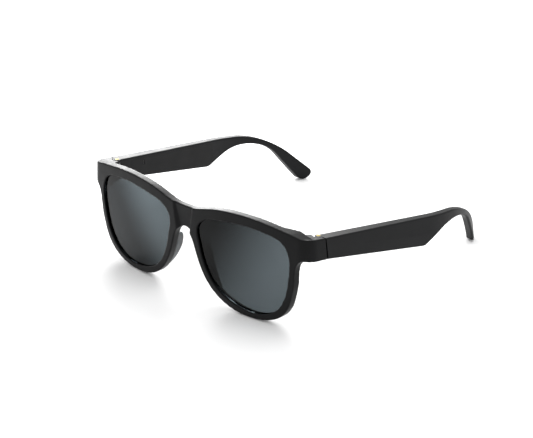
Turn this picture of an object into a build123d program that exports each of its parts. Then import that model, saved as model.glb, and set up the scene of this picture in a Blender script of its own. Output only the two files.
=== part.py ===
"""Smart glasses: a wrapped front with two tinted lenses, and two temples with electronics inside.

Millimetres. +X is the wearer's left, -Y is the way the wearer looks and +Z is up.
The glasses stand on their rims and temple tips, with the origin under the middle of their box.
A depth d is measured backwards from the crown of the front arc.
Left pieces are modelled, and right ones are their mirror images.
"""

import math
import os

from build123d import *

os.makedirs("parts", exist_ok=True)

# ---------------------------------------------------------------- driving dimensions
depth = 135.75             # crown of the front arc to the temple tips
front_thickness = 3.8      # rim, front to back
wrap_radius = 358.0        # curve of the front seen from above
crown_radius = 300.0       # curve of the front seen from the side
crown_z = 17.7             # height where the front bulges most
corner_radius = 8.0        # from the front round to the side of the end piece
wrap_angle = 11.0          # turn of the front arc, in degrees
side_length = 5.65         # straight side of the end piece

lens_middle = (37.0, 23.5)
lens_points = (            # left lens opening seen from the front
    (9.6, 32.5), (10.6, 38.2), (14.0, 41.0), (24.0, 43.4), (39.0, 44.5), (53.0, 43.5), (60.3, 40.9),
    (63.4, 35.5), (63.2, 25.5), (60.4, 14.6), (55.3, 7.6), (47.5, 3.6), (38.5, 3.0), (29.5, 4.7),
    (19.6, 10.2), (12.8, 20.8),
)
lens_inset = 1.1           # lens front behind the rim's front
lens_thickness = 1.8
lens_bite = 0.8            # how far the lens enters its groove
groove_play = 0.05
bridge_recess = 1.9        # the bridge lies this far behind the two pods

pad_front_d = 3.6          # nose pad, from inside the rim's back to the skin
pad_rear_d = 8.4
pad_peg_place = (11.5, 19.5)
pad_peg_radius = 0.7
pad_peg_end_d = 2.4

split_d = 19.9             # hinge plane between end piece and temple
split_gap = 0.2
temple_inner_x = 67.5      # inner face of the temple at the hinge plane
temple_outer_x = 74.75     # outer face there, at the temple's lower edge
splay = 1.05               # outward drift of the outer face in plan, in degrees
inner_splay = 3.46         # the same for the inner face, so that the temple thins backwards
side_lean = 5.0            # the outer face leans in towards its top, in degrees
top_z = 43.34              # temple's upper edge at the hinge plane
top_slope = 9.46           # its fall towards the ear, in degrees
bottom_z = 33.4            # temple's lower edge at the hinge plane
bottom_slope = 13.04
notch_d = 80.2             # where the deep part of the temple ends
notch_round = 5.0
rise_angle = 19.6          # the lower edge rises behind the notch
rise_end_d = 91.15
crest_radius = 28.5        # arch over the ear, in two arcs
crest_turn = 46.7
arch_radius = 17.8
arch_turn = 30.6
hook_start_d = 99.2        # the upper edge turns down here
hook_radius = 48.5
hook_angle = 46.6
hook_bottom_length = 20.95
hook_end = (136.55, 3.78)
tip_round = 3.0
bend_d = 84.1              # where the temple starts to bend inwards
bend_radius = 70.0
bend_turn = 52.0           # a little more than the whole inward bend
edge_round = 0.8           # rounding along the temple's edges
crease_rise = 5.5          # facet along the temple's lower edge
crease_depth = 0.7

pivot_x = 69.0
pin_radius = 0.6
pin_head_radius = 0.95
pin_head_height = 0.6
pin_bottom_z = 34.2
pin_top_z = 43.4
barrel_radius = 1.5
barrel_levels = (35.2, 37.4, 39.8, 41.8)# knuckle joints, from the bottom up
running_play = 0.05
pocket_radius = 2.35       # room round the hinge in the end piece
room_gap = 0.1             # above and below the hinge in the temple
boss_radius = 2.15         # quarter collar on the temple that fills the pocket's outer side
leaf_thickness = 0.9
leaf_x = pivot_x + 0.85    # middle of both leaf plates, just outside the axis
front_leaf_length = 7.5
leaf_clear_d = 21.7        # the temple leaf is narrow up to here, to pass the front's knuckles
leaf_end_d = 33.2
leaf_levels = (35.2, 38.6)
screw_radius = 0.5
screw_head_radius = 0.9
screw_head_depth = 0.45    # the heads lie sunk in the leaf
screw_depths = (29.6, 31.8)
screw_z = 36.9

wall = 1.3                 # temple housing's outer wall
cover_thickness = 1.1
cover_play = 0.06
leaf_room_d = 28.2         # room under the cover for the leaf's screws
bay_start_d = 34.0
bay_end_d = 82.6
bay_margin = 1.9           # from the temple's edges to the bay
seat_step = 0.8            # ledge that the inner cover rests on
board_near = 2.35          # circuit board behind the temple's inner face
board_thickness = 0.7
chip_height = 0.8
contact_d = 39.8           # middle of the charging contacts
contact_radius = 0.9
contact_places = ((-2.8, 0), (2.8, 0))
port_d = 36.0              # microphone port
port_z = 36.85
port_height = 2.1
port_width = 0.8
outlet_d = 76.6            # sound outlet in the lower edge
outlet_length = 6.0
outlet_width = 1.2

front_y = -depth / 2
split_y = front_y + split_d
frame_end_d = split_d - split_gap / 2
first_d = split_d + split_gap / 2
pivot = Vector(pivot_x, split_y, 0)
up = Vector(0, 0, 1)


# ---------------------------------------------------------------- helpers
def at(x, d):
    """Plan position from a width and a depth behind the front."""
    return (x, front_y + d)


def back(d, z):
    """Side position from a depth behind the front and a height."""
    return (front_y + d, z)


def behind(d):
    """Upright plane across the glasses at a depth, seen from the front."""
    return Plane.XZ.offset(-front_y - d)


def heading(angle):
    """Unit direction in a sketch, from an angle in degrees."""
    return (math.cos(math.radians(angle)), math.sin(math.radians(angle)))


def slope(angle):
    return math.tan(math.radians(angle))


def top_at(d):
    """Height of the temple's upper edge."""
    return top_z - slope(top_slope) * (d - split_d)


def bottom_at(d):
    """Height of the temple's lower edge, in front of the notch."""
    return bottom_z - slope(bottom_slope) * (d - split_d)


def inner_at(d):
    """Width at the temple's inner face, in front of the bend."""
    return temple_inner_x + slope(inner_splay) * (d - split_d)


def outer_at(d):
    """Width at the temple's outer face, at the level of its hinge-side lower edge."""
    return temple_outer_x + slope(splay) * (d - split_d)


def bay_plane(d):
    """Plane on the left temple's inner face, x along the temple, z outwards."""
    axis_slope = (top_slope + bottom_slope) / 2
    along = Vector(slope(inner_splay), 1, -slope(axis_slope))
    outwards = Vector(1, -slope(inner_splay), 0)
    middle_z = (top_at(d) + bottom_at(d)) / 2
    return Plane(origin=(inner_at(d), front_y + d, middle_z), x_dir=along, z_dir=outwards)


def save(part, name):
    part.label = name
    export_step(part, f"parts/{name}.step")


def save_pair(part, name):
    """Write the left piece and its mirror image, the right one."""
    save(part, f"{name}_left")
    save(mirror(part, about=Plane.YZ), f"{name}_right")


# the sound outlet faces down and forwards, and the port looks at the wearer's right temple bone
outlet_plane = Plane(
    origin=((inner_at(outlet_d) + outer_at(outlet_d)) / 2 + 0.5, front_y + outlet_d, bottom_at(outlet_d)),
    x_dir=(0, 1, -slope(bottom_slope)),
    z_dir=(0, -slope(bottom_slope), -1),
)
port_plane = Plane(
    origin=(-inner_at(port_d), front_y + port_d, port_z),
    x_dir=(0, 0, 1),
    z_dir=(1, slope(inner_splay), 0),
)


# ---------------------------------------------------------------- the front's wrapped band
with BuildLine() as plan_path:
    front_arc = JernArc((0, front_y), (1, 0), wrap_radius, wrap_angle)
    corner_arc = JernArc(front_arc @ 1, front_arc % 1, corner_radius, 90 - splay - wrap_angle)


def station(point, tangent):
    """Plane across the band: x towards the wearer, y up."""
    inward = Vector(-tangent.Y, tangent.X, 0)
    return Plane(origin=point, x_dir=inward, z_dir=inward.cross(up))


def band_section(plane, near, far, low, high):
    """Slice of the band between two depths behind the front face."""
    def face(inset):
        radius = crown_radius - inset
        heights = (low, (low + high) / 2, high)
        return [(crown_radius - math.sqrt(radius**2 - (z - crown_z)**2), z) for z in heights]

    outer = face(near)
    inner = face(far)
    with BuildSketch(plane) as section:
        with BuildLine():
            ThreePointArc(*outer)
            Line(outer[2], inner[2])
            ThreePointArc(inner[2], inner[1], inner[0])
            Line(inner[0], outer[0])
        make_face()
    return section.sketch


def front_band(near, far):
    """Left half of the wrapped band, from the bridge to the corner."""
    start = station(front_arc @ 0, front_arc % 0)
    axis = Axis((0, front_y + wrap_radius, 0), (0, 0, 1))
    with BuildPart() as band:
        revolve(band_section(start, near, far, -1, 53), axis=axis, revolution_arc=wrap_angle)
    return band.part


def side_band():
    """Corner and side of the end piece, which carry the band on backwards."""
    corner = station(corner_arc @ 0, corner_arc % 0)
    side = station(corner_arc @ 1, corner_arc % 1)
    axis = Axis(corner.origin + corner.x_dir * corner_radius, (0, 0, 1))
    turn = 90 - splay - wrap_angle
    with BuildPart() as band:
        revolve(band_section(corner, 0, front_thickness, 20, 50), axis=axis, revolution_arc=turn)
        extrude(band_section(side, 0, front_thickness, 20, 50), amount=side_length)
    return band.part


# ---------------------------------------------------------------- lenses
def lens_outline(grow):
    """Left lens opening seen from the front, each point pushed out from its middle by an amount."""
    middle = Vector(*lens_middle)
    points = []
    for place in lens_points:
        spoke = Vector(*place) - middle
        points.append(middle + spoke * (1 + grow / spoke.length))
    with BuildSketch(Plane.XZ) as outline:
        with BuildLine():
            Spline(*points, periodic=True)
        make_face()
    return outline.sketch


def lens_blank(play):
    """Lens solid, or its groove when it is given some play."""
    with BuildPart() as blank:
        add(front_band(lens_inset - play, lens_inset + lens_thickness + play))
        extrude(lens_outline(lens_bite + play), amount=depth, both=True, mode=Mode.INTERSECT)
    return blank.part


save_pair(lens_blank(0), "lens")


# ---------------------------------------------------------------- hinges
def post(radius, bottom, top):
    """Upright cylinder on the hinge axis."""
    with BuildPart() as solid:
        with BuildSketch(Plane.XY.offset(bottom)):
            with Locations(pivot):
                Circle(radius)
        extrude(amount=top - bottom)
    return solid.part


def leaf_plate(near_d, far_d, bottom, top):
    """Flat plate beside the hinge axis."""
    with BuildPart() as solid:
        with BuildSketch(Plane.XY.offset(bottom)):
            with Locations(at(leaf_x, (near_d + far_d) / 2)):
                Rectangle(leaf_thickness, far_d - near_d)
        extrude(amount=top - bottom)
    return solid.part


low_z, mid_low_z, mid_high_z, high_z = barrel_levels

with BuildPart() as hinge_front_leaf:
    add(post(barrel_radius, low_z, high_z))
    add(leaf_plate(split_d - front_leaf_length, split_d, low_z, high_z))
    add(post(barrel_radius + 0.12, mid_low_z, mid_high_z), mode=Mode.SUBTRACT)
    add(post(pin_radius, low_z, high_z), mode=Mode.SUBTRACT)
save_pair(hinge_front_leaf.part, "hinge_front_leaf")


def leaf_screw_bodies():
    """Both screws of one leaf, with their heads flush with its inner side."""
    inner_side = Plane.YZ.offset(leaf_x - leaf_thickness / 2)
    with BuildPart() as solid:
        for radius, length in ((screw_head_radius, screw_head_depth), (screw_radius, leaf_thickness + 1.5)):
            with BuildSketch(inner_side):
                with Locations(*[back(d, screw_z) for d in screw_depths]):
                    Circle(radius)
            extrude(amount=length)
    return solid.part


save_pair(leaf_screw_bodies(), "leaf_screws")

with BuildPart() as hinge_temple_leaf:
    add(post(barrel_radius, mid_low_z + running_play, mid_high_z - running_play))
    add(leaf_plate(split_d, leaf_clear_d, mid_low_z + running_play, mid_high_z - running_play))
    add(leaf_plate(leaf_clear_d, leaf_end_d, *leaf_levels))
    add(leaf_plate(leaf_clear_d, leaf_clear_d + 1, leaf_levels[0], mid_high_z - running_play))
    add(post(pin_radius + running_play, mid_low_z, mid_high_z), mode=Mode.SUBTRACT)
    add(leaf_screw_bodies(), mode=Mode.SUBTRACT)
save_pair(hinge_temple_leaf.part, "hinge_temple_leaf")

with BuildPart() as hinge_pin:
    add(post(pin_radius, pin_bottom_z, pin_top_z))
    add(post(pin_head_radius, pin_top_z - pin_head_height, pin_top_z))
    with BuildSketch(Plane.XY.offset(pin_top_z)):
        with Locations(pivot):
            Rectangle(2 * pin_head_radius, 0.3)
    extrude(amount=-0.25, mode=Mode.SUBTRACT)
save_pair(hinge_pin.part, "hinge_pin")


# ---------------------------------------------------------------- nose pads
with BuildPart() as nose_pad:
    with BuildLine(mode=Mode.PRIVATE):
        front_line = ThreePointArc((9.0, 26.6), (12.0, 17.8), (19.6, 8.0))
        rear_line = ThreePointArc((9.8, 25.4), (12.6, 16.8), (18.6, 9.0))
    with BuildSketch(behind(pad_front_d)):
        SlotArc(front_line, 2.5)
    with BuildSketch(behind(pad_rear_d)):
        SlotArc(rear_line, 1.9)
    loft()
    # seen from the side the pad is a fin, deep near its top and running out at its bottom
    with BuildSketch(Plane.YZ):
        with BuildLine():
            Spline(
                back(2, 30.0), back(6.4, 28.2), back(pad_rear_d, 24.3), back(7.9, 17.5),
                back(6.1, 10.4), back(2, 2.6),
            )
            Line(back(2, 2.6), back(2, 30.0))
        make_face()
    extrude(amount=30, mode=Mode.INTERSECT)
    add(front_band(-1, front_thickness + groove_play), mode=Mode.SUBTRACT)
    with BuildSketch(behind(pad_front_d + 2.5)):
        with Locations(pad_peg_place):
            Circle(pad_peg_radius)
    extrude(amount=pad_front_d + 2.5 - pad_peg_end_d)
save_pair(nose_pad.part, "nose_pad")


# ---------------------------------------------------------------- ribbon through the brow
def ribbon(width, play):
    """Flat cable that follows the brow from one hinge to the other, left half."""
    middle = front_thickness - 0.9
    with BuildPart() as solid:
        add(front_band(middle - 0.15 - play, middle + 0.15 + play))
        with BuildSketch(Plane.XZ):
            with BuildLine() as route:
                Polyline(
                    (-1, 40.0), (6.0, 40.4), (12.5, 44.0), (24.0, 46.2), (39.0, 47.1), (52.0, 46.2),
                    (60.0, 44.6), (66.5, 42.0),
                )
            trace(route.line, line_width=width + 2 * play)
        extrude(amount=depth, both=True, mode=Mode.INTERSECT)
    return solid.part


half_ribbon = ribbon(1.0, 0)
save(half_ribbon + mirror(half_ribbon, about=Plane.YZ), "front_ribbon_cable")


# ---------------------------------------------------------------- front frame
def front_envelope():
    """The rim's outline pulled backwards, joined with the end piece's outline pulled sideways."""
    with BuildPart() as solid:
        with BuildSketch(behind(-5)):
            with BuildLine():
                Spline(
                    (0, 44.5), (5, 44.7), (11, 45.8), (18, 47.5), (26, 48.7), (37, 49.2), (52, 48.3),
                    (62, 46.9), (71.5, 44.9),
                    tangents=((1, 0), (1, -0.25)),
                )
                Line((71.5, 44.9), (71.5, 35.6))
                rim = Spline(
                    (71.5, 35.6), (67.8, 32.9), (66.6, 29.2), (66.0, 22.5), (64.7, 17.0), (62.8, 11.4),
                    (59.0, 6.1), (52.0, 1.9), (44.8, 0.3), (38.5, 0), (29.5, 1.2), (21.0, 5.0), (14.0, 11.6),
                )
                arch = ((10.1, 18.4), (7.4, 25.6), (4.9, 31.2), (0, 33.9))
                Spline(rim @ 1, *arch, tangents=(rim % 1, (-1, 0)))
                Line((0, 33.9), (0, 44.5))
            make_face()
        extrude(amount=-(5 + 13.5))
        with BuildSketch(Plane.YZ.offset(57)):
            with BuildLine():
                end_top = back(frame_end_d, top_z)
                end_bottom = back(frame_end_d, bottom_z)
                Spline(back(-2, 45.7), back(8, 45.4), end_top, tangents=((1, 0), (1, -slope(top_slope))))
                Polyline(end_top, end_bottom, back(9.2, 34.9), back(-2, 35.5), back(-2, 45.7))
            make_face()
        extrude(amount=20)
    return solid.part


with BuildPart() as front_half:
    add(front_band(0, front_thickness))
    add(side_band())
    # hinge block inside the corner
    with BuildSketch(Plane.XY.offset(bottom_z - 0.25)):
        with BuildLine():
            block_end = at(temple_inner_x, frame_end_d)
            # its inner side stops short of where the folded temple comes to lie
            shoulder = at(temple_inner_x, split_d - 1.8)
            inner_side = FilletPolyline(at(57.0, 10.2), at(64.4, 13.2), at(65.6, split_d - 1.8), radius=2.0)
            outside = [at(73.0, frame_end_d), at(73.0, 15.0), at(68.0, 9.5), at(57.0, 8.5)]
            Polyline(inner_side @ 1, shoulder, block_end, *outside, inner_side @ 0)
        make_face()
    extrude(amount=14)
    add(front_envelope(), mode=Mode.INTERSECT)
    # lens opening and groove
    extrude(lens_outline(0), amount=depth, both=True, mode=Mode.SUBTRACT)
    add(lens_blank(groove_play), mode=Mode.SUBTRACT)
    # the bridge stands back between the two pods, with slanted steps
    with BuildSketch(behind(-0.5)):
        with BuildLine():
            Polyline((-6, 28), (4.4, 28), (8.7, 46), (9.6, 54), (-6, 54), close=True)
        make_face()
    extrude(amount=-(0.5 + bridge_recess), taper=45, mode=Mode.SUBTRACT)
    # hinge pocket, front leaf, pad peg and ribbon
    add(post(pocket_radius, 30, 50), mode=Mode.SUBTRACT)
    add(hinge_front_leaf.part, mode=Mode.SUBTRACT)
    with BuildSketch(behind(pad_front_d + 2.5)):
        with Locations(pad_peg_place):
            Circle(pad_peg_radius + groove_play)
    extrude(amount=pad_front_d + 2.6 - pad_peg_end_d, mode=Mode.SUBTRACT)
    add(ribbon(1.0, groove_play), mode=Mode.SUBTRACT)
save(front_half.part + mirror(front_half.part, about=Plane.YZ), "front_frame")


# ---------------------------------------------------------------- temple shape
def temple_profile(first_d):
    """The temple seen from the side, pulled right across."""
    with BuildPart() as solid:
        with BuildSketch(Plane.YZ.offset(45)) as profile:
            with BuildLine():
                top = Line(back(first_d, top_at(first_d)), back(hook_start_d, top_at(hook_start_d)))
                turn = JernArc(top @ 1, heading(-top_slope), hook_radius, top_slope - hook_angle)
                hook_top = Line(turn @ 1, back(*hook_end))
                notch = back(notch_d, bottom_at(notch_d))
                bottom = Line(back(first_d, bottom_at(first_d)), notch)
                rise_z = bottom_at(notch_d) + slope(rise_angle) * (rise_end_d - notch_d)
                rise = Line(notch, back(rise_end_d, rise_z))
                crest = JernArc(rise @ 1, rise % 1, crest_radius, -crest_turn)
                arch = JernArc(crest @ 1, crest % 1, arch_radius, -arch_turn)
                hook_bottom = Line(arch @ 1, (arch @ 1) + (arch % 1) * hook_bottom_length)
                Line(hook_bottom @ 1, hook_top @ 1)
                Line(top @ 0, bottom @ 0)
            make_face()
            # within the sketch, x runs backwards and y upwards
            fillet(profile.vertices().sort_by_distance(notch)[0], notch_round)
            fillet(profile.vertices().sort_by(Axis.X)[-1], tip_round)
            fillet(profile.vertices().sort_by(Axis.Y)[0], tip_round)
        extrude(amount=40)
    return solid.part


def outer_prism(inset, first_d):
    """All that lies inside the leaning outer face."""
    with BuildPart() as solid:
        with BuildSketch(Plane.XY.offset(bottom_z)) as plan:
            with BuildLine():
                side = Line(at(outer_at(first_d) - inset, first_d), at(outer_at(bend_d) - inset, bend_d))
                bend = JernArc(side @ 1, heading(90 - splay), bend_radius - inset, bend_turn)
                tip = Line(bend @ 1, (bend @ 1) + (bend % 1) * 12)
                Polyline(tip @ 1, at(30, depth + 12), at(30, first_d), side @ 0)
            make_face()
        lean = Vector(-slope(side_lean), 0, 1)
        extrude(plan.sketch, amount=40, dir=lean)
        extrude(plan.sketch, amount=40, dir=-lean)
    return solid.part


def inner_prism(inset, first_d):
    """All that lies outside the upright inner face."""
    with BuildPart() as solid:
        with BuildSketch(Plane.XY.offset(-5)):
            with BuildLine():
                side = Line(at(inner_at(first_d) + inset, first_d), at(inner_at(bend_d) + inset, bend_d))
                bend = JernArc(side @ 1, heading(90 - inner_splay), bend_radius + inset, bend_turn)
                tip = Line(bend @ 1, (bend @ 1) + (bend % 1) * 12)
                Polyline(tip @ 1, at(95, depth + 12), at(95, first_d), side @ 0)
            make_face()
        extrude(amount=60)
    return solid.part


def bay_block(margin, first_d, last_d):
    """Side outline of the electronics bay, a margin inside the temple's edges, pulled right across."""
    deep_d = min(last_d, notch_d)
    rear_low = bottom_at(deep_d) + slope(rise_angle) * (last_d - deep_d)
    corners = [
        back(first_d, bottom_at(first_d) + margin),
        back(first_d, top_at(first_d) - margin),
        back(last_d, top_at(last_d) - margin),
        back(last_d, rear_low + margin),
    ]
    if last_d > deep_d:
        corners.append(back(deep_d, bottom_at(deep_d) + margin))
    with BuildPart() as solid:
        with BuildSketch(Plane.YZ.offset(60)) as profile:
            with BuildLine():
                Polyline(*corners, close=True)
            make_face()
            fillet(profile.vertices(), 1.0)
        extrude(amount=20)
    return solid.part


def facet():
    """Wedge that turns the outer face's lower band under, deeper towards the rear."""
    with BuildPart() as solid:
        for d, cut in ((split_d - 1, 0.0), (notch_d + 15, crease_depth)):
            low, high = bottom_at(d) - 2, bottom_at(d) + crease_rise
            with BuildSketch(behind(d)):
                with BuildLine():
                    face_low = (outer_at(d) + slope(side_lean) * (bottom_z - low) - cut, low)
                    face_high = (outer_at(d) + slope(side_lean) * (bottom_z - high), high)
                    Polyline(face_low, face_high, (90, high), (90, low), close=True)
                make_face()
        loft()
    return solid.part


def boss_ring():
    """Quarter collar round the hinge axis, ahead of the temple's end on its outer side."""
    with BuildPart() as solid:
        with BuildSketch(Plane.XY.offset(30)):
            with Locations(pivot):
                Circle(boss_radius)
                Rectangle(9, 9, align=(Align.MAX, Align.CENTER), mode=Mode.SUBTRACT)
                Rectangle(9, 9, align=(Align.CENTER, Align.MIN), mode=Mode.SUBTRACT)
                Circle(barrel_radius)
        extrude(amount=20)
    return solid.part


def hinge_room():
    """Room in the temple for both leaves' knuckles, the pin and its head."""
    low = low_z - room_gap
    high = high_z + room_gap
    with BuildPart() as solid:
        add(post(barrel_radius + 0.12, low, high))
        with BuildSketch(Plane.XY.offset(low)):
            with Locations((pivot_x, split_y - 3)):
                Rectangle(9, 6.2)
        extrude(amount=high - low)
        add(post(pin_radius + running_play, pin_bottom_z - room_gap, 50))
        add(post(pin_head_radius + running_play, pin_top_z - pin_head_height - room_gap, 50))
    return solid.part


def bay_room():
    """The electronics bay, open towards the inner cover."""
    with BuildPart() as solid:
        add(bay_block(bay_margin, bay_start_d, bay_end_d))
        add(outer_prism(wall, first_d), mode=Mode.INTERSECT)
    return solid.part


def cover_seat():
    """Recess in the inner face that the inner cover fills."""
    with BuildPart() as solid:
        add(bay_block(bay_margin - seat_step, leaf_room_d - seat_step, bay_end_d + seat_step))
        add(inner_prism(cover_thickness, first_d), mode=Mode.SUBTRACT)
    return solid.part


with BuildPart() as temple_boss:
    add(temple_profile(split_d - 4))
    add(inner_prism(0, split_d - 4), mode=Mode.INTERSECT)
    add(boss_ring(), mode=Mode.INTERSECT)

with BuildPart() as temple_housing:
    add(temple_profile(first_d))
    add(outer_prism(0, first_d), mode=Mode.INTERSECT)
    add(inner_prism(0, first_d), mode=Mode.INTERSECT)
    behind_hinge = temple_housing.edges().filter_by(lambda edge: (edge @ 0.5).Y > split_y + 0.5)
    fillet(behind_hinge, edge_round)
    add(facet(), mode=Mode.SUBTRACT)
    # round the hinge axis
    add(temple_boss.part)
    add(hinge_room(), mode=Mode.SUBTRACT)
    # hinge leaf, its screws and the room over their heads
    add(hinge_temple_leaf.part, mode=Mode.SUBTRACT)
    add(leaf_screw_bodies(), mode=Mode.SUBTRACT)
    with BuildSketch(Plane.YZ.offset(leaf_x + leaf_thickness / 2)):
        with Locations(back((leaf_room_d + bay_start_d) / 2, sum(leaf_levels) / 2)):
            Rectangle(bay_start_d - leaf_room_d + 0.4, leaf_levels[1] - leaf_levels[0] + 0.4)
    extrude(amount=-8, mode=Mode.SUBTRACT)
    # electronics bay, and the seat for its inner cover
    add(bay_room(), mode=Mode.SUBTRACT)
    add(cover_seat(), mode=Mode.SUBTRACT)
    # sound outlet in the lower edge
    with BuildSketch(outlet_plane):
        SlotOverall(outlet_length, outlet_width)
    extrude(amount=-3.0, mode=Mode.SUBTRACT)
save_pair(temple_housing.part, "temple_housing")


# ---------------------------------------------------------------- inner covers
with BuildPart() as cover:
    add(bay_block(bay_margin - seat_step + cover_play, leaf_room_d - seat_step + cover_play,
                  bay_end_d + seat_step - cover_play))
    add(inner_prism(0, first_d), mode=Mode.INTERSECT)
    add(inner_prism(cover_thickness - cover_play, first_d), mode=Mode.SUBTRACT)

with BuildPart() as temple_cover_left:
    add(cover.part)
    with BuildSketch(bay_plane(contact_d)):
        with Locations(*contact_places):
            Circle(contact_radius + cover_play)
    extrude(amount=3, both=True, mode=Mode.SUBTRACT)
save(temple_cover_left.part, "temple_cover_left")

with BuildPart() as temple_cover_right:
    add(mirror(cover.part, about=Plane.YZ))
    with BuildSketch(port_plane):
        SlotOverall(port_height, port_width)
    extrude(amount=3, both=True, mode=Mode.SUBTRACT)
save(temple_cover_right.part, "temple_cover_right")

# ---------------------------------------------------------------- inside the temples
def slab(centre_d, length, height, near, thickness, rise=0.0):
    """Flat block in the bay, set by its depths from the inner face."""
    with BuildPart() as solid:
        with BuildSketch(bay_plane(centre_d).offset(near)):
            with Locations((0, rise)):
                RectangleRounded(length, height, 0.3)
        extrude(amount=thickness)
    return solid.part


save_pair(slab(43.0, 13.5, 6.2, board_near, board_thickness), "circuit_board")
save_pair(slab(61.5, 18.5, 7.0, 1.25, 2.35), "battery")
save_pair(slab(77.4, 9.0, 7.6, 1.25, 1.6), "speaker")
save_pair(slab(62.0, 23.0, 2.6, 3.66, 0.12), "temple_ribbon_cable")

with BuildPart() as board_chips:
    for place, size in (((2.4, 0.6), (3.4, 3.4)), ((5.4, -1.2), (1.6, 2.6)), ((5.4, 1.8), (1.6, 1.2))):
        with BuildSketch(bay_plane(43.0).offset(board_near)):
            with Locations(place):
                Rectangle(*size)
        extrude(amount=-chip_height)
save_pair(board_chips.part, "board_chips")

with BuildPart() as touch_sensor:
    add(bay_block(bay_margin + 0.9, bay_start_d + 1.5, 64))
    add(outer_prism(wall + 0.02, first_d), mode=Mode.INTERSECT)
    add(outer_prism(wall + 0.2, first_d), mode=Mode.SUBTRACT)
save_pair(touch_sensor.part, "touch_sensor")

with BuildPart() as speaker_mesh:
    with BuildSketch(outlet_plane.offset(-0.3)):
        SlotOverall(outlet_length - 2 * cover_play, outlet_width - 2 * cover_play)
    extrude(amount=-0.5)
save_pair(speaker_mesh.part, "speaker_mesh")

# the charging contacts are in the left temple only
with BuildPart() as charging_contacts:
    with BuildSketch(bay_plane(contact_d)):
        with Locations(*contact_places):
            Circle(contact_radius)
    extrude(amount=board_near)
save(charging_contacts.part, "charging_contacts")

with BuildPart() as charging_magnet:
    with BuildSketch(bay_plane(contact_d).offset(cover_thickness)):
        Circle(1.5)
    extrude(amount=board_near - cover_thickness - 0.1)
save(charging_magnet.part, "charging_magnet")

# the microphone and its port are in the right temple only
with BuildPart() as microphone:
    with BuildSketch(port_plane.offset(-cover_thickness)):
        Rectangle(3.0, 2.2)
    extrude(amount=-(board_near - cover_thickness - 0.05))
save(microphone.part, "microphone")

with BuildPart() as microphone_mesh:
    with BuildSketch(port_plane.offset(-0.25)):
        SlotOverall(port_height - 2 * cover_play, port_width - 2 * cover_play)
    extrude(amount=-0.5)
save(microphone_mesh.part, "microphone_mesh")
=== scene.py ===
"""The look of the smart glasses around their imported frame: meshes, materials, lights and camera."""

import math

import bpy
from mathutils import Matrix, Vector

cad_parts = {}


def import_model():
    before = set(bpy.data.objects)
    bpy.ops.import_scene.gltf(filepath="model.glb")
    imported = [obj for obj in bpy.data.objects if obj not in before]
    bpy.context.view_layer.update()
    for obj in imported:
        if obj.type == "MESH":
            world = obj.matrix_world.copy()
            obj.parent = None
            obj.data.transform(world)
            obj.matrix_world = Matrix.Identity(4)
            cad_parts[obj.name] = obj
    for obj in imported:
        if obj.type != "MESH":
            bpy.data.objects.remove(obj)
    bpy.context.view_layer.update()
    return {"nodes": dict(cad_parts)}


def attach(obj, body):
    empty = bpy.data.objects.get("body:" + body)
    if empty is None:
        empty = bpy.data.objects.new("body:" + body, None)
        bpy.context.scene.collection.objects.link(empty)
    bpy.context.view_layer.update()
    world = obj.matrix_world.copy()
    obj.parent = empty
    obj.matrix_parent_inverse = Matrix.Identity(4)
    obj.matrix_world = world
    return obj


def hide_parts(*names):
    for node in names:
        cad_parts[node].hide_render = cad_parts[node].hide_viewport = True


MM = 0.001

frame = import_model()
nodes = frame["nodes"]

# ---------------------------------------------------------------- driving values, in millimetres
FRONT_Y = -67.875          # crown of the front arc
WRAP_RADIUS = 358.0        # curve of the front seen from above
CROWN_RADIUS = 300.0       # curve of the front seen from the side
CROWN_Z = 17.7
LENS_MIDDLE = (37.0, 23.5)
LENS_POINTS = (
    (9.6, 32.5), (10.6, 38.2), (14.0, 41.0), (24.0, 43.4), (39.0, 44.5), (53.0, 43.5), (60.3, 40.9),
    (63.4, 35.5), (63.2, 25.5), (60.4, 14.6), (55.3, 7.6), (47.5, 3.6), (38.5, 3.0), (29.5, 4.7),
    (19.6, 10.2), (12.8, 20.8),
)
LENS_INSET = 1.1           # how far the lens lies behind the front of its rim
LENS_THICKNESS = 1.8
LENS_BITE = 0.7            # how far the lens reaches into the rim all round
FRAME_VOXEL = 0.30         # remesh step of the front
PAD_VOXEL = 0.25           # remesh step of the nose pads
FLOOR_HALF = 3000.0        # half the floor's width
FLOOR_DROP = 0.3           # how far the floor lies under Z 0

# ---------------------------------------------------------------- other driving values
LENS_RINGS = 20            # rings of faces from the middle of a lens to its edge
EDGE_STEPS = 10            # steps between two of the lens points
SHARP_ANGLE = 50           # degrees, past which a lens edge stays sharp
SOFTENING_PASSES = 10
SOFTENING_FACTOR = 0.5
NOISE_RANGE = (0.3, 0.7)   # the part of a noise's values that a ramp or a spread uses
WORLD_STRENGTH = 0.9
CAMERA_PLACE = (0.6680, -0.6256, 0.4196)                # metres
CAMERA_TURN = (47.582, 23.810, -3.001)                  # azimuth, elevation and roll in degrees
CAMERA_LENS = 140.37       # mm
CAMERA_SENSOR = 36.0       # mm
CAMERA_FAR = 20            # metres


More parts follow.
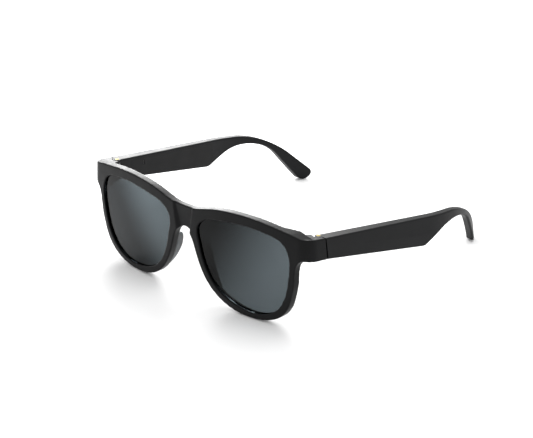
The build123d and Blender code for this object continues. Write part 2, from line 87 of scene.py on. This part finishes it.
# ---------------------------------------------------------------- material helpers
class Shader:
    """A material's node tree with short ways to add and join nodes."""

    def __init__(self, name):
        self.material = bpy.data.materials.new(name)
        self.material.use_nodes = True
        self.tree = self.material.node_tree
        self.surface = self.tree.nodes["Principled BSDF"]

    def node(self, kind, **values):
        """New node. A value goes to the input of that name, or else to the node's own property."""
        made = self.tree.nodes.new(kind)
        for key, value in values.items():
            socket = key.replace("_", " ")
            if socket in made.inputs:
                made.inputs[socket].default_value = value
            else:
                setattr(made, key, value)
        return made

    def join(self, source, target):
        self.tree.links.new(source, target)

    def set(self, **values):
        """Values that are the same all over the surface."""
        for key, value in values.items():
            self.surface.inputs[key.replace("_", " ")].default_value = value

    def place(self):
        """Where a point lies on its object."""
        return self.node("ShaderNodeTexCoord").outputs["Object"]

    def noise(self, scale, detail=4.0, roughness=0.5, vector=None):
        made = self.node("ShaderNodeTexNoise", Scale=scale, Detail=detail, Roughness=roughness)
        self.join(vector or self.place(), made.inputs["Vector"])
        return made.outputs["Fac"]

    def ramp(self, value, low, high, between=NOISE_RANGE):
        """Colour that runs from low to high as the value runs between two places."""
        made = self.node("ShaderNodeValToRGB")
        first, last = made.color_ramp.elements
        first.position, last.position = between
        first.color = (*low, 1)
        last.color = (*high, 1)
        self.join(value, made.inputs["Fac"])
        return made.outputs["Color"]

    def spread(self, value, low, high):
        """Number that runs from low to high as a noise runs over its range."""
        start, end = NOISE_RANGE
        made = self.node("ShaderNodeMapRange", From_Min=start, From_Max=end, To_Min=low, To_Max=high)
        self.join(value, made.inputs["Value"])
        return made.outputs["Result"]

    def bump(self, height, strength, distance):
        made = self.node("ShaderNodeBump", Strength=strength, Distance=distance)
        self.join(height, made.inputs["Height"])
        self.join(made.outputs["Normal"], self.surface.inputs["Normal"])

    def colour(self, output):
        self.join(output, self.surface.inputs["Base Color"])

    def roughness(self, output):
        self.join(output, self.surface.inputs["Roughness"])


def moulded(name, low, high, rough, gloss=0.4):
    """Moulded plastic: a faint mottle, uneven roughness and a fine grain."""
    s = Shader(name)
    s.colour(s.ramp(s.noise(scale=60, detail=3), low, high))
    s.roughness(s.spread(s.noise(scale=140, detail=6, roughness=0.6), *rough))
    s.bump(s.noise(scale=9000, detail=2), strength=0.35, distance=0.00002)
    s.set(Specular_IOR_Level=gloss)
    return s.material


def metal(name, low, high, rough, brushed=(1, 1, 1)):
    """Metal with a fine grain, which is drawn out into lines across the axis that has a larger scale."""
    s = Shader(name)
    mapping = s.node("ShaderNodeMapping", Scale=brushed)
    s.join(s.place(), mapping.inputs["Vector"])
    lines = s.noise(scale=1500, detail=5, roughness=0.6, vector=mapping.outputs["Vector"])
    s.colour(s.ramp(lines, low, high))
    s.roughness(s.spread(lines, *rough))
    s.bump(lines, strength=0.2, distance=0.00001)
    s.set(Metallic=1.0)
    return s.material


def tint_with_painted_reflection(name, dark_at, light_at, lean, dark, light):
    """Grey sunglass lens with a painted reflection: its colour runs from dark to light between two
    places (mm), measured along X + lean * Z.
    """
    s = Shader(name)
    where = s.node("ShaderNodeSeparateXYZ")
    s.join(s.place(), where.inputs["Vector"])
    slanted = s.node("ShaderNodeMath", operation="MULTIPLY_ADD")
    s.join(where.outputs["Z"], slanted.inputs[0])
    slanted.inputs[1].default_value = lean
    s.join(where.outputs["X"], slanted.inputs[2])
    # painted reflection: the lens colour grades from dark to light along X + lean * Z
    painted_reflection_fade = s.node("ShaderNodeMapRange", interpolation_type="SMOOTHSTEP")
    painted_reflection_fade.inputs["From Min"].default_value = dark_at * MM
    painted_reflection_fade.inputs["From Max"].default_value = light_at * MM
    s.join(slanted.outputs[0], painted_reflection_fade.inputs["Value"])
    s.colour(s.ramp(painted_reflection_fade.outputs["Result"], dark, light, between=(0.0, 1.0)))
    s.roughness(s.spread(s.noise(scale=30, detail=2), 0.0, 0.02))
    # lower than a real lens, so that the white floor doesn't wash it out
    s.set(IOR=1.2, Transmission_Weight=1.0)
    return s.material


def silicone(name):
    """Soft grey rubber that lets a little light in."""
    s = Shader(name)
    s.colour(s.ramp(s.noise(scale=90, detail=3), (0.055, 0.06, 0.064), (0.08, 0.086, 0.09)))
    s.roughness(s.spread(s.noise(scale=200), 0.42, 0.55))
    s.bump(s.noise(scale=5000, detail=2), strength=0.25, distance=0.00003)
    s.set(Specular_IOR_Level=0.45, Subsurface_Weight=0.15, Subsurface_Scale=0.002)
    return s.material


def solder_mask(name):
    """Green circuit board with small gold pads."""
    s = Shader(name)
    cells = s.node("ShaderNodeTexVoronoi", Scale=1400.0)
    s.join(s.place(), cells.inputs["Vector"])
    gold, green = (0.30, 0.22, 0.08), (0.012, 0.07, 0.035)
    s.colour(s.ramp(cells.outputs["Distance"], gold, green, between=(0.08, 0.14)))
    s.roughness(s.spread(s.noise(scale=400), 0.3, 0.45))
    return s.material


def woven_mesh(name):
    """Fine black metal cloth: two crossing sets of wires."""
    s = Shader(name)
    weave = s.node("ShaderNodeMath", operation="MAXIMUM")
    for slot, direction in enumerate("YZ"):
        wave = s.node("ShaderNodeTexWave", Scale=4000.0, bands_direction=direction)
        s.join(s.place(), wave.inputs["Vector"])
        s.join(wave.outputs["Fac"], weave.inputs[slot])
    s.colour(s.ramp(weave.outputs[0], (0.004, 0.004, 0.004), (0.06, 0.06, 0.06)))
    s.bump(weave.outputs[0], strength=0.5, distance=0.00005)
    s.set(Metallic=0.8, Roughness=0.45)
    return s.material


BLACK = moulded(
    "satin_black", (0.0022, 0.0023, 0.0026), (0.0034, 0.0036, 0.0041), rough=(0.36, 0.46), gloss=0.14,
)
TEMPLE_BLACK = moulded(
    "temple_black", (0.0024, 0.0026, 0.0031), (0.0036, 0.0039, 0.0046), rough=(0.40, 0.50), gloss=0.17,
)
COVER_BLACK = moulded(
    "cover_black", (0.0026, 0.0027, 0.0030), (0.0038, 0.0040, 0.0044), rough=(0.46, 0.56), gloss=0.17,
)
# each lens has a grey tint with a painted reflection on top, running from dark at one side to light at
# the other
LENS_TINT_AND_PAINTED_REFLECTION = {
    "left": tint_with_painted_reflection(
        "lens_grey_painted_reflection_left", dark_at=-8, light_at=48, lean=-0.6,
        dark=(0.0010, 0.0014, 0.0016), light=(0.074, 0.090, 0.098),
    ),
    "right": tint_with_painted_reflection(
        "lens_grey_painted_reflection_right", dark_at=-32, light_at=4, lean=0.7,
        dark=(0.0060, 0.0078, 0.0090), light=(0.066, 0.082, 0.090),
    ),
}
PAD_GREY = silicone("pad_silicone")
DARK_STEEL = metal(
    "dark_steel", (0.10, 0.10, 0.105), (0.16, 0.16, 0.165), rough=(0.35, 0.5), brushed=(1, 1, 14),
)
PLAIN_STEEL = metal("plain_steel", (0.45, 0.45, 0.46), (0.6, 0.6, 0.6), rough=(0.25, 0.4))
GOLD = metal("gold_plate", (0.72, 0.50, 0.20), (0.86, 0.63, 0.30), rough=(0.18, 0.3))
PIN_GOLD = metal("pin_gold", (0.30, 0.23, 0.07), (0.38, 0.30, 0.10), rough=(0.45, 0.55))
FOIL = metal("pouch_foil", (0.55, 0.56, 0.58), (0.68, 0.69, 0.71), rough=(0.3, 0.45), brushed=(1, 8, 1))
AMBER = moulded("amber_flex", (0.34, 0.15, 0.03), (0.46, 0.22, 0.05), rough=(0.25, 0.4))
CHIP = moulded("chip_black", (0.012, 0.012, 0.012), (0.02, 0.02, 0.02), rough=(0.5, 0.65))
BOARD = solder_mask("board_green")
MESH = woven_mesh("black_mesh")

# by the start of a CAD node's name; the longest that fits is used
CAD_MATERIALS = {
    "temple_housing": TEMPLE_BLACK,
    "temple_cover": COVER_BLACK,
    "front_frame": BLACK,
    "lens_left": LENS_TINT_AND_PAINTED_REFLECTION["left"],
    "lens_right": LENS_TINT_AND_PAINTED_REFLECTION["right"],
    "nose_pad": PAD_GREY,
    "hinge_front_leaf": DARK_STEEL,
    "hinge_temple_leaf": DARK_STEEL,
    "hinge_pin": PIN_GOLD,
    "leaf_screws": PLAIN_STEEL,
    "circuit_board": BOARD,
    "board_chips": CHIP,
    "battery": FOIL,
    "speaker_mesh": MESH,
    "speaker": PLAIN_STEEL,
    "microphone_mesh": MESH,
    "microphone": PLAIN_STEEL,
    "touch_sensor": AMBER,
    "front_ribbon_cable": AMBER,
    "temple_ribbon_cable": AMBER,
    "charging_contacts": GOLD,
    "charging_magnet": PLAIN_STEEL,
}


def paint(obj, material):
    obj.data.materials.clear()
    obj.data.materials.append(material)


for name, obj in nodes.items():
    fitting = [key for key in CAD_MATERIALS if name.startswith(key)]
    paint(obj, CAD_MATERIALS[max(fitting, key=len)])


# ---------------------------------------------------------------- mesh helpers
def mesh_object(name, points, faces, material):
    """New smooth object from points in millimetres."""
    data = bpy.data.meshes.new(name)
    data.from_pydata([Vector(p) * MM for p in points], [], faces)
    data.validate()
    data.shade_smooth()
    data.materials.append(material)
    obj = bpy.data.objects.new(name, data)
    bpy.context.scene.collection.objects.link(obj)
    return obj


def apply_modifiers(obj):
    """Keeps the evaluated mesh and drops the modifiers."""
    graph = bpy.context.evaluated_depsgraph_get()
    data = bpy.data.meshes.new_from_object(obj.evaluated_get(graph))
    obj.modifiers.clear()
    obj.data = data


def softened(node, name, voxel, material):
    """Copy of a CAD node with its edges rounded: an even remesh, then smoothing."""
    obj = bpy.data.objects.new(name, nodes[node].data.copy())
    bpy.context.scene.collection.objects.link(obj)
    remesh = obj.modifiers.new("even", "REMESH")
    remesh.mode = "VOXEL"
    remesh.voxel_size = voxel * MM
    smooth = obj.modifiers.new("soft", "SMOOTH")
    smooth.factor = SOFTENING_FACTOR
    smooth.iterations = SOFTENING_PASSES
    apply_modifiers(obj)
    obj.data.shade_smooth()
    paint(obj, material)
    return obj


# ---------------------------------------------------------------- front
front = softened("front_frame", "front_shell", FRAME_VOXEL, BLACK)
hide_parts("front_frame")
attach(front, "front")


# ---------------------------------------------------------------- lenses
def band_point(x, z, inset):
    """Point of the wrapped, crowned band at a width and a height, an inset behind its front."""
    radius = CROWN_RADIUS - inset
    behind = CROWN_RADIUS - math.sqrt(radius**2 - (z - CROWN_Z)**2)
    reach = WRAP_RADIUS - behind
    return Vector((x, FRONT_Y + WRAP_RADIUS - math.sqrt(reach**2 - x**2), z))


def closed_curve(points, steps):
    """Smooth closed line through points, as even steps between each pair (Catmull-Rom)."""
    line = []
    count = len(points)
    for i in range(count):
        a, b, c, d = (Vector(points[(i + k - 1) % count]) for k in range(4))
        for step in range(steps):
            t = step / steps
            square = 2 * a - 5 * b + 4 * c - d
            cube = 3 * b - a - 3 * c + d
            line.append(0.5 * (2 * b + (c - a) * t + square * t**2 + cube * t**3))
    return line


def lens(side, name, material):
    """Curved lens: rings from its middle to its edge, front and back, and a rim between them."""
    middle = Vector(LENS_MIDDLE)
    spokes = [Vector(p) - middle for p in LENS_POINTS]
    grown = [middle + spoke * (1 + LENS_BITE / spoke.length) for spoke in spokes]
    edge = closed_curve(grown, EDGE_STEPS)
    count = len(edge)
    points, faces = [], []
    for inset in (LENS_INSET, LENS_INSET + LENS_THICKNESS):
        first = len(points)
        points.append(band_point(*middle, inset))
        for ring in range(1, LENS_RINGS + 1):
            for place in edge:
                x, z = middle.lerp(place, ring / LENS_RINGS)
                points.append(band_point(x, z, inset))
        for k in range(count):
            after = (k + 1) % count
            faces.append((first, first + 1 + k, first + 1 + after))
            for ring in range(LENS_RINGS - 1):
                near = first + 1 + ring * count
                far = near + count
                faces.append((near + k, far + k, far + after, near + after))
    front_edge = 1 + (LENS_RINGS - 1) * count
    back_edge = front_edge + 1 + LENS_RINGS * count
    # the back half was built like the front, so its faces are turned to look backwards
    half = len(faces) // 2
    faces[half:] = [tuple(reversed(f)) for f in faces[half:]]
    for k in range(count):
        after = (k + 1) % count
        faces.append((front_edge + k, back_edge + k, back_edge + after, front_edge + after))
    points = [(side * x, y, z) for x, y, z in points]
    if side > 0:
        faces = [tuple(reversed(f)) for f in faces]
    obj = mesh_object(name, points, faces, material)
    obj.data.set_sharp_from_angle(angle=math.radians(SHARP_ANGLE))
    return obj


# the lens materials carry a painted reflection, lighter towards one side of each lens
for side, word in ((1, "left"), (-1, "right")):
    glass = lens(side, f"tinted_lens_painted_reflection_{word}", LENS_TINT_AND_PAINTED_REFLECTION[word])
    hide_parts(f"lens_{word}")
    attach(glass, "front")


# ---------------------------------------------------------------- nose pads
for word in ("left", "right"):
    pad = softened(f"nose_pad_{word}", f"soft_pad_{word}", PAD_VOXEL, PAD_GREY)
    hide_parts(f"nose_pad_{word}")
    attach(pad, "front")


# ---------------------------------------------------------------- floor, lights and camera
def floor():
    """Plain pale sheet under the glasses, with a faint mottle."""
    size = FLOOR_HALF * MM
    corners = [(-size, -size, 0), (size, -size, 0), (size, size, 0), (-size, size, 0)]
    s = Shader("pale_floor")
    s.colour(s.ramp(s.noise(scale=3, detail=2), (0.90, 0.90, 0.90), (0.93, 0.93, 0.93)))
    s.set(Roughness=0.9, Specular_IOR_Level=0.1)
    data = bpy.data.meshes.new("floor")
    data.from_pydata(corners, [], [(0, 1, 2, 3)])
    data.materials.append(s.material)
    obj = bpy.data.objects.new("floor", data)
    obj.location.z = -FLOOR_DROP * MM
    bpy.context.scene.collection.objects.link(obj)


def area_light(name, place, target, size, power):
    """Soft rectangular light, in metres and watts, turned towards its target."""
    data = bpy.data.lights.new(name, "AREA")
    data.shape = "RECTANGLE"
    data.size, data.size_y = size
    data.energy = power
    obj = bpy.data.objects.new(name, data)
    obj.location = place
    obj.rotation_euler = (Vector(target) - Vector(place)).to_track_quat("-Z", "Y").to_euler()
    obj.visible_camera = False
    bpy.context.scene.collection.objects.link(obj)


def camera():
    """Camera with a long lens, in front of the glasses, to the wearer's left and above them."""
    azimuth, elevation, roll = (math.radians(angle) for angle in CAMERA_TURN)
    across, up = math.cos(elevation), math.sin(elevation)
    back = Vector((math.sin(azimuth) * across, -math.cos(azimuth) * across, up))
    level = Vector((math.cos(azimuth), math.sin(azimuth), 0))
    right = math.cos(roll) * level + math.sin(roll) * back.cross(level)
    upwards = back.cross(right)
    data = bpy.data.cameras.new("camera")
    data.sensor_width = CAMERA_SENSOR
    data.lens = CAMERA_LENS
    data.clip_end = CAMERA_FAR
    obj = bpy.data.objects.new("camera", data)
    turn = Matrix((right, upwards, back)).transposed().to_4x4()
    obj.matrix_world = Matrix.Translation(Vector(CAMERA_PLACE)) @ turn
    bpy.context.scene.collection.objects.link(obj)
    bpy.context.scene.camera = obj


def world(strength):
    """Even white light from all round."""
    made = bpy.data.worlds.new("studio")
    made.use_nodes = True
    background = made.node_tree.nodes["Background"]
    background.inputs["Color"].default_value = (1, 1, 1, 1)
    background.inputs["Strength"].default_value = strength
    bpy.context.scene.world = made


floor()
camera()
world(WORLD_STRENGTH)
area_light("top_softbox", place=(0.0, 0.25, 0.9), target=(0, 0, 0.03), size=(0.9, 0.7), power=4.5)
# behind the front on the wearer's right, for the bright line along the top of the brow
area_light(
    "brow_strip", place=(-0.21, 0.12, 0.13), target=(0.0, -0.065, 0.046), size=(0.16, 0.16), power=0.9,
)
bpy.context.scene.view_settings.view_transform = "Standard"
